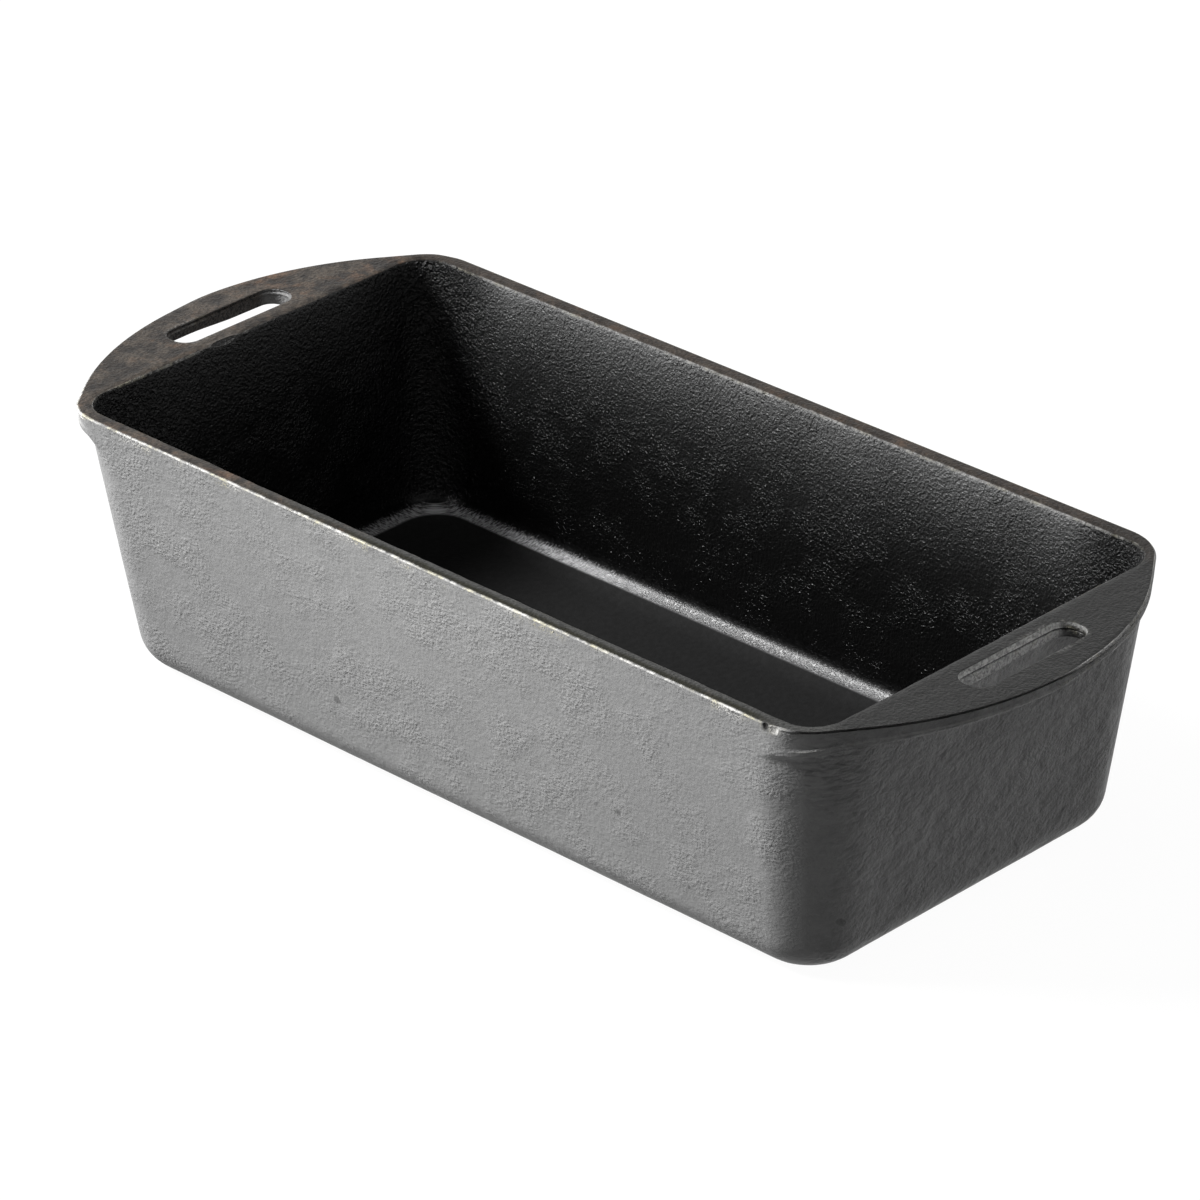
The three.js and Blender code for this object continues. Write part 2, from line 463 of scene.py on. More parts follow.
def slot_outline():
    """The slot's outline at the rim about its own middle, and the direction outwards at each point."""
    corner_x = slot_width / 2 - slot_corner_radius
    corner_y = slot_length / 2 - slot_corner_radius
    centres = []
    facing = []
    for quarter, (sign_x, sign_y) in enumerate(((1, 1), (-1, 1), (-1, -1), (1, -1))):
        for angle in np.linspace(0, math.pi / 2, slot_corner_columns + 1) + quarter * math.pi / 2:
            centres.append((sign_x * corner_x, sign_y * corner_y))
            facing.append(angle)
        next_y = sign_y * corner_y * (-1 if sign_x * sign_y < 0 else 1)
        if next_y != sign_y * corner_y:
            for share in np.arange(1, slot_side_columns) / slot_side_columns:
                centres.append((sign_x * corner_x, blend(sign_y * corner_y, next_y, share)))
                facing.append(facing[-1])
    outward = np.stack([np.cos(facing), np.sin(facing)], 1)
    return np.array(centres) + outward * slot_corner_radius, outward


def slot_core(side, casting_tree):
    """The tapered core of one slot, flared at both mouths so that the slot's edges come out rounded."""
    outline, outward = slot_outline()
    outline = outline + (side * slot_centre_x, 0)
    hits = [casting_tree.ray_cast(Vector((x, y, 0)), Vector((0, 0, 1)))[0] for x, y in outline]
    bottom = height - np.array([hit.z for hit in hits])
    taper = math.tan(slot_draft)
    level = np.zeros(len(outline))
    rows = [(level + slot_mouth_round + mouth_flare, level - mouth_overshoot)]
    bends = np.radians(np.linspace(90, 0, round_rows + 1)[1:])
    for bend in bends:
        rows.append((level + slot_mouth_round * (1 - math.cos(bend)),
                     level + slot_mouth_round * (1 - math.sin(bend))))
    for depth, step in slot_wall_profiles[side]:
        rows.append((level - depth * taper + step, level + depth))
    narrowed = -(bottom - 2 * slot_mouth_round) * taper
    for bend in bends[::-1]:
        rows.append((narrowed + slot_mouth_round * (1 - math.cos(bend)),
                     bottom - slot_mouth_round * (1 - math.sin(bend))))
    flared = narrowed + slot_mouth_round + mouth_flare
    rows.append((flared, bottom + mouth_overshoot))
    rows.append((flared, bottom + core_overshoot))
    rings = [np.column_stack([outline + outward * grow[:, None], height - depth]) for grow, depth in rows]
    rings.reverse()
    count = len(outline)
    faces = loft_faces(len(rings), count)
    faces.append(list(range(count))[::-1])
    faces.append([(len(rings) - 1) * count + column for column in range(count)])
    return mesh_object("slot_core", np.concatenate(rings), faces)


# Chips broken out of the rim: where, half sizes along X, Y and Z, and how bare the iron is there, or how
# dark it is painted, as shadow, if negative
chips = (
    ((113.9 * mm, -64.9 * mm, 72.3 * mm), (1.0 * mm, 1.5 * mm, 2.6 * mm), -1.0),
    ((116.6 * mm, -65.1 * mm, 71.7 * mm), (2.2 * mm, 1.7 * mm, 2.2 * mm), 1.0),
    ((-123.9 * mm, -10.5 * mm, 73.6 * mm), (2.4 * mm, 7.0 * mm, 2.2 * mm), 0.05),
)
chip_unevenness = 0.25
chip_bumps = 6
chip_bump_rate = 3
chip_fineness = 3


def chip_cutter(place, half_sizes, seed):
    """A rough pebble that leaves a chip where it is cut out."""
    pebble = bmesh.new()
    bmesh.ops.create_icosphere(pebble, subdivisions=chip_fineness, radius=1)
    rng = np.random.default_rng(seed)
    bumps = rng.normal(size=(chip_bumps, 3))
    for corner in pebble.verts:
        waves = [math.sin(chip_bump_rate * corner.co.dot(Vector(bump))) for bump in bumps]
        swell = 1 + chip_unevenness * sum(waves) / len(waves)
        corner.co = Vector(c * swell * half + at for c, half, at in zip(corner.co, half_sizes, place))
    mesh = bpy.data.meshes.new("chip")
    pebble.to_mesh(mesh)
    pebble.free()
    return show("chip", mesh)


def cut(casting, cutter):
    """Takes the cutter out of the casting and deletes it."""
    carve = casting.modifiers.new("carve", "BOOLEAN")
    carve.operation = "DIFFERENCE"
    carve.solver = "EXACT"
    carve.object = cutter
    settle(casting)
    bpy.data.objects.remove(cutter)


def settle(shown):
    """Turns an object's modifiers into its plain mesh."""
    graph = bpy.context.evaluated_depsgraph_get()
    settled = bpy.data.meshes.new_from_object(shown.evaluated_get(graph))
    shown.modifiers.clear()
    shown.data = settled


# Nodes

class Graph:
    """Adds nodes to a tree, each fed from the sockets or plain values that it is given."""

    def __init__(self, tree):
        self.tree = tree

    def feed(self, socket, value):
        if isinstance(value, bpy.types.NodeSocket):
            self.tree.links.new(value, socket)
        else:
            socket.default_value = value

    def add(self, kind, inputs=(), **settings):
        node = self.tree.nodes.new(kind)
        for name, value in settings.items():
            setattr(node, name, value)
        for key, value in dict(inputs).items():
            self.feed(node.inputs[key], value)
        return node

    def math(self, operation, first, second=0.0):
        return self.add("ShaderNodeMath", {0: first, 1: second}, operation=operation).outputs[0]

    def plus(self, first, second):
        return self.math("ADD", first, second)

    def minus(self, first, second):
        return self.math("SUBTRACT", first, second)

    def times(self, first, second):
        return self.math("MULTIPLY", first, second)

    def larger(self, first, second):
        return self.math("MAXIMUM", first, second)

    def centred(self, noise):
        """Noise from 0 to 1, moved so that its middle lies at 0."""
        return self.minus(noise, 0.5)

    def axes(self, place):
        return self.add("ShaderNodeSeparateXYZ", {0: place}).outputs

    def scaled(self, place, shares):
        return self.add("ShaderNodeVectorMath", {0: place, 1: shares}, operation="MULTIPLY").outputs[0]

    def mix(self, share, first, second):
        return self.add("ShaderNodeMix", {0: share, 2: first, 3: second}).outputs[0]

    def mix_colour(self, share, first, second):
        node = self.add("ShaderNodeMix", {0: share, 6: first, 7: second}, data_type="RGBA")
        return node.outputs[2]

    def lay(self, colour, *layers):
        """Lays further colours over a colour, each by its own share."""
        for share, over in layers:
            colour = self.mix_colour(share, colour, over)
        return colour

    def step(self, value, low, high, start=0.0, end=1.0):
        """Eases from start to end while a value rises from low to high."""
        inputs = {0: value, 1: low, 2: high, 3: start, 4: end}
        return self.add("ShaderNodeMapRange", inputs, interpolation_type="SMOOTHSTEP").outputs[0]

    def noise(self, place, size, seed, detail, roughness=0.5):
        """Noise with features of about the given size in metres, from 0 to 1."""
        inputs = {
            "Vector": place, "W": seed, "Scale": 1 / size, "Detail": detail, "Roughness": roughness,
        }
        return self.add("ShaderNodeTexNoise", inputs, noise_dimensions="4D").outputs[0]

    def near(self, place, middle, close, far):
        """1 close to a place, fading to 0 far from it."""
        node = self.add("ShaderNodeVectorMath", {0: place, 1: middle}, operation="DISTANCE")
        return self.step(node.outputs["Value"], close, far, start=1.0, end=0.0)


def empty_graph(holder):
    """A graph of a material's or a world's nodes, emptied of those it starts with."""
    holder.use_nodes = True
    holder.node_tree.nodes.clear()
    return Graph(holder.node_tree)


# The casting's skin: swells, orange peel and sand marks, as real unevenness of the surface

skin_sizes = {
    "Swell Size": 32 * mm,
    "Swell Depth": 0.22 * mm,
    "Peel Size": 4.5 * mm,
    "Peel Depth": 0.07 * mm,
    "Sand Size": 3.2 * mm,
    "Sand Depth": 0.16 * mm,
    "Rim Edge Size": 5 * mm,
    "Rim Edge Depth": 0.4 * mm,
    "Seed": 3.0,
}


def skin_tree():
    """Geometry nodes that press swells, orange peel and sand marks into the casting, always inwards."""
    tree = bpy.data.node_groups.new("cast_skin", "GeometryNodeTree")
    tree.interface.new_socket("Geometry", in_out="INPUT", socket_type="NodeSocketGeometry")
    for name in skin_sizes:
        tree.interface.new_socket(name, in_out="INPUT", socket_type="NodeSocketFloat")
    tree.interface.new_socket("Finish", in_out="INPUT", socket_type="NodeSocketMaterial")
    tree.interface.new_socket("Geometry", in_out="OUTPUT", socket_type="NodeSocketGeometry")
    graph = Graph(tree)
    given = graph.add("NodeGroupInput").outputs
    place = graph.add("GeometryNodeInputPosition").outputs[0]
    masks = {}
    for name in ("pressed", "inside", "rim_edge"):
        masks[name] = graph.add("GeometryNodeInputNamedAttribute", {0: name}).outputs[0]

    def dents(kind, shift, detail):
        seed = graph.plus(given["Seed"], shift)
        inverse = graph.math("DIVIDE", 1.0, given[f"{kind} Size"])
        inputs = {"Vector": place, "W": seed, "Scale": inverse, "Detail": detail}
        noise = graph.add("ShaderNodeTexNoise", inputs, noise_dimensions="4D").outputs[0]
        return graph.times(noise, given[f"{kind} Depth"])

    swell = dents("Swell", shift=0.0, detail=1.0)
    peel = dents("Peel", shift=1.7, detail=1.0)
    sand = dents("Sand", shift=3.1, detail=2.0)
    edge = dents("Rim Edge", shift=5.3, detail=2.0)
    grain = graph.mix(masks["inside"], peel, sand)
    pressed = graph.times(graph.plus(swell, grain), masks["pressed"])
    pressed = graph.plus(pressed, graph.times(edge, masks["rim_edge"]))
    normal = graph.add("GeometryNodeInputNormal").outputs[0]
    inwards = graph.times(pressed, -1.0)
    offset = graph.add("ShaderNodeVectorMath", {0: normal, "Scale": inwards}, operation="SCALE").outputs[0]
    moved = graph.add("GeometryNodeSetPosition", {"Geometry": given["Geometry"], "Offset": offset})
    whole = graph.add("GeometryNodeRealizeInstances", {0: moved.outputs[0]})
    finished = graph.add("GeometryNodeSetMaterial", {0: whole.outputs[0], "Material": given["Finish"]})
    graph.add("NodeGroupOutput", {0: finished.outputs[0]})
    return tree


def press_skin(casting, finish):
    """Gives the casting its uneven skin and its finish."""
    tree = skin_tree()
    skin = casting.modifiers.new("cast_skin", "NODES")
    skin.node_group = tree
    for item in tree.interface.items_tree:
        if item.in_out == "INPUT" and item.name in skin_sizes:
            skin[item.identifier] = skin_sizes[item.name]
        if item.name == "Finish":
            skin[item.identifier] = finish
    settle(casting)


# Bounds of the casting's regions, where each begins to change and where it has changed: heights, depths
# below the rim, distances in plan, and shares of a chip's size
ground_depths = (0.10 * mm, 0.02 * mm)
inside_margin = (1.0 * mm, 2.0 * mm)
inside_foot = (3 * mm, 4.5 * mm)
slot_margin = (0.25 * mm, 0.5 * mm)
rim_edge_depths = (2.5 * mm, 0.5 * mm)
skin_foot = (0.0, 2 * mm)
brink_depths = (3 * mm, 1.5 * mm)
brink_end = (110 * mm, 120 * mm)
end_margin = (-6 * mm, 6 * mm)
end_foot = (0.5 * mm, 4 * mm)
inner_corner_x = (92 * mm, 112 * mm)
inner_corner_y = (25 * mm, 45 * mm)
chip_margin = (1.05, 1.25)

# Worn edges, also painted pale as highlights: how sharply they bend, and how much of the wear and highlight
# is left, or lost, in places
wear_and_highlight_bend = (0.25 / mm, 0.9 / mm)
crevice_end_x = (116.5 * mm, 120 * mm)
crevice_depths = (2 * mm, 1.5 * mm)
wear_and_highlight_slot_margin = (0.5 * mm, 1.0 * mm)
wear_and_highlight_slot_loss = 0.75
wear_and_highlight_rim_depths = (3 * mm, 2 * mm)
wear_and_highlight_low_share = 0.12
wear_and_highlight_back_y = (40 * mm, 55 * mm)
wear_and_highlight_back_share = 0.4
shortest_span = 0.05 * mm


def near_rim(depths, z):
    """0 at the first depth below the rim and lower down, rising to 1 at the second."""
    deep, shallow = depths
    return smooth_step(height - deep, height - shallow, z)


def past_section(x, y, section):
    """How far points in plan lie outside a section of the tub, or inside it where negative."""
    half_length, half_width, radius = section
    past_x = x - half_length + radius
    past_y = y - half_width + radius
    corner = np.hypot(np.maximum(past_x, 0), np.maximum(past_y, 0))
    return corner + np.minimum(np.maximum(past_x, past_y), 0) - radius


def chip_bareness(place):
    """How bare the iron is inside the pebbles that the chips were cut with: 0 away from them."""
    bareness = np.zeros(len(place))
    for middle, half_sizes, bare in chips:
        reach = np.linalg.norm((place - middle) / half_sizes, axis=1)
        bareness += bare * (1 - smooth_step(*chip_margin, reach))
    return bareness


def mean_curvature(mesh, place):
    """How sharply the surface bends at each point, per metre: positive on edges, negative in grooves."""
    normals = read_vectors(mesh.vertex_normals, "vector").astype(float)
    ends = np.zeros(len(mesh.edges) * 2, np.int32)
    mesh.edges.foreach_get("vertices", ends)
    ends = ends.reshape(-1, 2)
    bend = np.zeros(len(place))
    count = np.zeros(len(place))
    for here, there in (ends.T, ends.T[::-1]):
        along = place[here] - place[there]
        span = np.maximum((along ** 2).sum(1), shortest_span ** 2)
        bend += np.bincount(here, 2 * (normals[here] * along).sum(1) / span, len(place))
        count += np.bincount(here, minlength=len(place))
    return bend / np.maximum(count, 1)


def past_slot(x, y):
    """How far points in plan lie outside the nearer slot's outline, or inside it where negative."""
    outline = (slot_width / 2, slot_length / 2, slot_corner_radius)
    return past_section(np.abs(x - slot_centre_x), y, outline)


def edge_wear_and_highlight(mesh, place):
    """How far edges are rubbed and painted pale as highlights: less in slots, low down and behind, and not
    over a crevice or in a chip.
    """
    x, y, z = np.abs(place).T
    worn = smooth_step(*wear_and_highlight_bend, mean_curvature(mesh, place))
    over_crevice = crevice_share(place[:, 0], place[:, 1]) * smooth_step(*crevice_end_x, x)
    worn *= 1 - over_crevice * near_rim(crevice_depths, z)
    worn *= 1 - wear_and_highlight_slot_loss * (1 - smooth_step(*wear_and_highlight_slot_margin, past_slot(x, y)))
    worn *= blend(wear_and_highlight_low_share, 1.0, near_rim(wear_and_highlight_rim_depths, z))
    worn *= chip_bareness(place) == 0
    worn *= blend(1.0, wear_and_highlight_back_share, smooth_step(*wear_and_highlight_back_y, place[:, 1]))
    return worn


def mark_regions(casting):
    """Stores where the casting is ground flat, inside the tub, in a slot, on an end, worn and highlighted
    on edges, or chipped.
    """
    mesh = casting.data
    place = read_vectors(mesh.vertices, "co").astype(float)
    x, y, z = np.abs(place).T
    ground = near_rim(ground_depths, z)
    past_inside = past_section(x, y, inner_section(z))
    inside = (1 - smooth_step(*inside_margin, past_inside)) * smooth_step(*inside_foot, z)
    half_length, half_width, _ = outer_section(z)
    past_corner = (x - half_length) - (y - half_width)
    side = 1 - smooth_step(*brink_end, x)
    bareness = chip_bareness(place)
    masks = {
        "ground": ground,
        "inside": inside,
        "slot": (1 - smooth_step(*slot_margin, past_slot(x, y))) * (1 - ground),
        "rim_edge": near_rim(rim_edge_depths, z) * inside,
        "pressed": (1 - ground) * smooth_step(*skin_foot, z),
        "worn": edge_wear_and_highlight(mesh, place),
        "brink": near_rim(brink_depths, z) * side * (1 - inside) * (1 - ground),
        "end": smooth_step(*end_margin, past_corner) * smooth_step(*end_foot, z),
        "bare": np.maximum(bareness, 0),
        "nicked": np.maximum(-bareness, 0),
        "corner": smooth_step(*inner_corner_x, x) * smooth_step(*inner_corner_y, y) * inside,
    }
    for name, values in masks.items():
        stored = mesh.attributes.new(name, "FLOAT", "POINT")
        stored.data.foreach_set("value", values.astype(np.float32))


# Finishes

# The skin is folded below the right handle's near corner, and crusted inside the left handle's near corner
folded_corner = (127 * mm, -54 * mm, 60 * mm)
folded_reach = (5 * mm, 15 * mm)
crusted_corner = (-119 * mm, -50 * mm, 64 * mm)
crusted_reach = (8 * mm, 26 * mm)

# Strength of the iron's sheen, where 0.5 is that of glass
iron_gloss = 0.2

# How much the stretches of wear and painted highlight add to its own unevenness
wear_and_highlight_stretch_share = 0.5


def grey(level):
    """A neutral colour, in linear light."""
    return (level, level, level, 1)


def iron_finish():
    """Seasoned iron: satin grey outside, a brown ground rim, black inside with sandy walls."""
    material = bpy.data.materials.new("seasoned_iron")
    graph = empty_graph(material)
    place = graph.add("ShaderNodeTexCoord").outputs["Object"]
    mask = {}
    for name in ("ground", "inside", "slot", "worn", "brink", "end", "bare", "nicked", "corner"):
        mask[name] = graph.add("ShaderNodeAttribute", attribute_name=name).outputs["Fac"]
    colour, roughness, relief = outer_skin(graph, place, mask)
    layers = (
        (mask["slot"], slot_skin),
        (mask["inside"], inner_skin),
        (mask["ground"], ground_skin),
        # Edges are painted pale partly as wear and partly as highlights
        (wear_and_highlight_share(graph, place, mask), bare_and_highlight_skin),
        (mask["bare"], bare_and_highlight_skin),
        (mask["nicked"], nick_shadow_skin),
    )
    for share, skin in layers:
        other_colour, other_roughness, other_relief = skin(graph, place, mask)
        colour = graph.mix_colour(share, colour, other_colour)
        roughness = graph.mix(share, roughness, other_roughness)
        relief = graph.mix(share, relief, other_relief)
    bump = graph.add("ShaderNodeBump", {"Strength": 1.0, "Distance": mm, "Height": relief})
    surface = graph.add("ShaderNodeBsdfPrincipled", {
        "Base Color": colour,
        "Roughness": roughness,
        "Specular IOR Level": iron_gloss,
        "Normal": bump.outputs[0],
    })
    graph.add("ShaderNodeOutputMaterial", {0: surface.outputs[0]})
    return material


# Each skin below gives its colour, its roughness and its relief in millimetres. The levels at which its
# noises are stepped run from 0 to 1, as the noises do.

def wear_and_highlight_share(graph, place, mask):
    """How bare or highlighted the iron is: edges are rubbed, and painted pale as highlights, in uneven
    stretches, and sides are speckled below them.
    """
    stretch = graph.noise(place, size=12 * mm, seed=17.0, detail=2.0)
    edge_patchiness = graph.noise(place, size=1.6 * mm, seed=9.0, detail=3.0, roughness=0.75)
    speck = graph.noise(place, size=0.6 * mm, seed=18.0, detail=1.0)
    uneven = graph.plus(edge_patchiness, graph.times(graph.centred(stretch), wear_and_highlight_stretch_share))
    edge = graph.times(mask["worn"], graph.step(uneven, 0.38, 0.60, start=0.08))
    speckled = graph.times(graph.step(stretch, 0.47, 0.59), mask["brink"])
    return graph.larger(edge, graph.times(graph.step(speck, 0.46, 0.60), speckled))


# The outside
satin_dark = grey(0.275)
satin_pale = (0.365, 0.365, 0.364, 1)
# Painted light: the middle of each side is painted paler, as a pool of the key lamp's light
side_middle_lit = (0.45, 0.45, 0.445, 1)
side_foot_dark = grey(0.22)
# Painted shade, laid in the low parts of the grain and of the ends' wrinkles
hollow_shade_grey = grey(0.14)
pit_dark = grey(0.08)
# Painted shade in the creases of the folded skin
fold_crease_shade = grey(0.12)
side_middle = (15 * mm, 125 * mm)
satin_roughness = (0.42, 0.52)
ripple_stretch = (0.8, 0.8, 1)
fold_stretch = (0.3, 0.3, 1)
ripple_depths = (0.09, 0.42)
grain_depth = 0.14
end_ripple_share = 1.5
wrinkle_depth = 1.6
fold_depth = 0.7


def outer_skin(graph, place, mask):
    """Satin grey cast skin: smooth with rippled patches, painted paler amid the sides as a pool of light,
    wrinkled on the ends, with painted shade in the hollows of its grain, wrinkles and folds.
    """
    x, _, z = graph.axes(place)
    wide = graph.scaled(place, ripple_stretch)
    flat = graph.scaled(place, fold_stretch)
    smudge = graph.noise(place, size=45 * mm, seed=1.3, detail=4.0)
    grain = graph.noise(place, size=1.3 * mm, seed=2.0, detail=3.0, roughness=0.7)
    pit = graph.noise(place, size=3.5 * mm, seed=7.0, detail=0.0)
    ripple = graph.noise(wide, size=0.7 * mm, seed=3.0, detail=2.0)
    patch = graph.noise(wide, size=11 * mm, seed=19.0, detail=4.0)
    wrinkle = graph.noise(wide, size=4.5 * mm, seed=16.0, detail=4.0, roughness=0.65)
    fold = graph.noise(flat, size=1.1 * mm, seed=21.0, detail=1.0)
    folded = graph.near(place, folded_corner, *folded_reach)
    colour = graph.lay(
        graph.mix_colour(smudge, satin_dark, satin_pale),
        # Painted light, paler amid the sides
        (graph.step(graph.math("ABSOLUTE", x), *side_middle, start=0.4, end=0.0), side_middle_lit),
        (graph.step(z, 0.0, height, start=0.55, end=0.0), side_foot_dark),
        # Painted shade in the hollows of the grain and, on the ends, of the wrinkles
        (graph.step(grain, 0.32, 0.68, start=0.22, end=0.0), hollow_shade_grey),
        (graph.times(graph.step(wrinkle, 0.38, 0.60, start=0.4, end=0.0), mask["end"]), hollow_shade_grey),
        (graph.step(pit, 0.78, 0.84, end=0.6), pit_dark),
        # Painted shade in the folds' creases
        (graph.times(graph.step(fold, 0.36, 0.56, start=0.6, end=0.0), folded), fold_crease_shade),
    )
    roughness = graph.mix(smudge, *satin_roughness)
    fine = graph.times(ripple, graph.mix(graph.step(patch, 0.40, 0.68), *ripple_depths))
    side = graph.plus(fine, graph.times(grain, grain_depth))
    end = graph.plus(graph.times(fine, end_ripple_share), graph.times(wrinkle, wrinkle_depth))
    folds = graph.times(graph.times(fold, folded), fold_depth)
    relief = graph.plus(graph.mix(mask["end"], side, end), folds)
    return colour, roughness, relief


# The slots' walls: the dark line's depth below the rim, and how far along the slots their far ends begin
# Painted light and shade: the right slot's walls, which face the key lamp, are painted pale, and the left
# slot's, which face away, dark.
# The left slot's far end is painted pale where the lamp falls on it. The right slot's far end is painted
# dark, and black deeper down, as its shadow.
# The lumps' hollows are painted darker as shade.
right_slot_lit = (0.60, 0.60, 0.59, 1)
right_slot_low = grey(0.50)
right_slot_line = grey(0.03)
right_slot_lump_shade = grey(0.08)
right_slot_end_shadow = grey(0.02)
right_slot_hole_shadow = grey(0.003)
left_slot_shaded = grey(0.007)
left_slot_brown = (0.060, 0.052, 0.046, 1)
left_slot_end_lit = grey(0.24)
left_to_right = (-10 * mm, 10 * mm)
dark_line_top = (1.5 * mm, 1.7 * mm)
dark_line_bottom = (1.9 * mm, 2.2 * mm)
left_slot_end_y = (14 * mm, 17.5 * mm)
right_slot_end_y = (17 * mm, 18.6 * mm)
right_slot_hole_depth = (0.6 * mm, 1.2 * mm)
right_slot_end_share = 0.7
slot_roughness = (0.4, 0.55)
slot_lump_depth = 0.6


def slot_skin(graph, place, mask):
    """The slots' walls, rough as cast, with painted light and shade: dark brown at left, pale at right with
    a dark line and a far end painted black as shadow.
    """
    x, y, z = graph.axes(place)
    right = graph.step(x, *left_to_right)
    below = graph.minus(height, z)
    lump = graph.noise(place, size=0.7 * mm, seed=11.0, detail=2.0, roughness=0.6)
    lower = graph.step(below, *dark_line_top)
    pale = graph.lay(
        graph.mix_colour(lower, right_slot_lit, right_slot_low),
        (graph.times(lower, graph.step(below, *dark_line_bottom, start=1.0, end=0.0)), right_slot_line),
        (graph.step(lump, 0.35, 0.60, start=0.6, end=0.0), right_slot_lump_shade),
    )
    brown = graph.lay(
        graph.mix_colour(graph.step(lump, 0.32, 0.6), left_slot_shaded, left_slot_brown),
        (graph.step(y, *left_slot_end_y, end=0.7), left_slot_end_lit),
    )
    # Painted shadow at the right slot's far end
    far_end = graph.times(graph.step(y, *right_slot_end_y), right)
    colour = graph.lay(
        graph.mix_colour(right, brown, pale),
        (graph.times(far_end, right_slot_end_share), right_slot_end_shadow),
        (graph.times(graph.step(below, *right_slot_hole_depth), far_end), right_slot_hole_shadow),
    )
    roughness = graph.mix(lump, *slot_roughness)
    relief = graph.times(lump, slot_lump_depth)
    return colour, roughness, relief


# The inside: heights above the bottom at which its looks change, and places along it
# The black of the seasoning, which also paints shade into the inner corners and the left end
seasoning_and_shade_black = grey(0.001)
rim_grey = grey(0.10)
floor_black = grey(0.0005)
floor_dark = (0.003, 0.003, 0.0031, 1)
# Painted glints: pale specks on the sand of the crusted corner stand for the lamps' reflections
crumb_glint_grey = grey(0.06)
# Painted highlight: the line round the floor's edge, palest at the left, where the lamp's own reflection is
# blocked, with dark breaks
right_highlight_grey = (0.05, 0.05, 0.051, 1)
left_highlight_grey = (0.26, 0.26, 0.265, 1)
highlight_break_dark = grey(0.004)
floor_end = (floor_thickness + 1.4 * mm, floor_thickness + 1.9 * mm)
wall_foot = (floor_thickness + 3 * mm, floor_thickness + floor_fillet)
line_foot = (6.4 * mm, 6.9 * mm)
line_top = (7.4 * mm, 9.2 * mm)
line_fray = 4 * mm
line_slant = (1, -1, 0.2)
bristle_squeeze = 0.6
streak_squeeze = 0.15
glossy_foot = (11 * mm, 20 * mm)
cluster_rise = (15 * mm, 62 * mm)
sandy_rise = (38 * mm, 66 * mm)
grey_fade = 9 * mm
grey_wander = 10 * mm
shaded_left_end = (-120 * mm, -108 * mm)
pale_line_end = (-75 * mm, -25 * mm)
corner_shade_share = 0.9
corner_sand_share = 0.6
floor_roughness = 0.85
glint_roughness = 0.22
sand_depths = (0.3, 1.0)
corner_sand_depth = 0.3
glint_depth = 0.5
floor_grain_depth = 0.2
bristle_depth = 0.25


def inner_skin(graph, place, mask):
    """Black seasoning over sandy walls, greyer towards the rim, with a glossy line round the floor's edge
    painted pale as the key lamp's highlight.
    """
    x, _, z = graph.axes(place)
    wall = graph.step(z, *wall_foot)
    above_floor = graph.step(z, *floor_end)
    grain = graph.noise(place, size=1.6 * mm, seed=23.0, detail=3.0, roughness=0.65)
    sand = graph.noise(place, size=0.75 * mm, seed=4.0, detail=2.0, roughness=0.6)
    crumb = graph.noise(place, size=0.6 * mm, seed=5.0, detail=0.0)
    cluster = sand_clusters(graph, place, z, mask)
    glint = graph.times(graph.times(graph.step(crumb, 0.58, 0.84), cluster), wall)
    crust = graph.near(place, crusted_corner, *crusted_reach)
    line, bristle, streak = floor_highlight_line(graph, place, z)
    floor = graph.mix_colour(graph.step(grain, 0.35, 0.65), floor_black, floor_dark)
    # Painted highlight along the floor's edge, paler at the left
    left = graph.step(x, *pale_line_end, start=1.0, end=0.0)
    worn = graph.mix_colour(left, right_highlight_grey, left_highlight_grey)
    worn = graph.mix_colour(graph.step(bristle, 0.35, 0.62, start=0.85, end=0.0), worn, highlight_break_dark)
    colour = graph.lay(
        graph.mix_colour(wall, floor, wall_colour(graph, place, mask)),
        # Painted glints on the crusted corner's sand
        (graph.times(graph.step(sand, 0.50, 0.64), crust), crumb_glint_grey),
        (line, worn),
    )
    seasoned = graph.mix(above_floor, floor_roughness, graph.step(z, *glossy_foot, start=0.19, end=0.30))
    scuffed = graph.times(line, graph.step(streak, 0.38, 0.62, start=0.14, end=0.0))
    roughness = graph.plus(graph.mix(glint, seasoned, glint_roughness), scuffed)
    strewn = graph.larger(cluster, graph.step(z, *sandy_rise))
    crusted = graph.plus(crust, graph.times(mask["corner"], corner_sand_depth))
    sandy = graph.times(sand, graph.plus(graph.mix(strewn, *sand_depths), crusted))
    grainy = graph.times(graph.centred(grain), graph.minus(1.0, above_floor))
    relief = graph.times(graph.plus(sandy, graph.times(glint, glint_depth)), wall)
    relief = graph.plus(relief, graph.times(grainy, floor_grain_depth))
    ridges = graph.times(graph.centred(bristle), line)
    relief = graph.plus(relief, graph.times(ridges, bristle_depth))
    return colour, roughness, relief


def wall_colour(graph, place, mask):
    """Black, fading to grey unevenly towards the rim, and painted blacker as shade in the corners and at
    the left end.
    """
    x, _, z = graph.axes(place)
    patch = graph.noise(place, size=22 * mm, seed=6.0, detail=3.0)
    drop = graph.minus(height, graph.plus(z, graph.times(graph.centred(patch), grey_wander)))
    faded = graph.math("EXPONENT", graph.math("DIVIDE", graph.larger(drop, 0.0), -grey_fade))
    return graph.lay(
        graph.mix_colour(faded, seasoning_and_shade_black, rim_grey),
        # Painted shade: black laid over the inner corners, and over the left end, which faces away from the
        # key lamp
        (graph.times(mask["corner"], corner_shade_share), seasoning_and_shade_black),
        (graph.step(x, *shaded_left_end, start=0.65, end=0.0), seasoning_and_shade_black),
    )


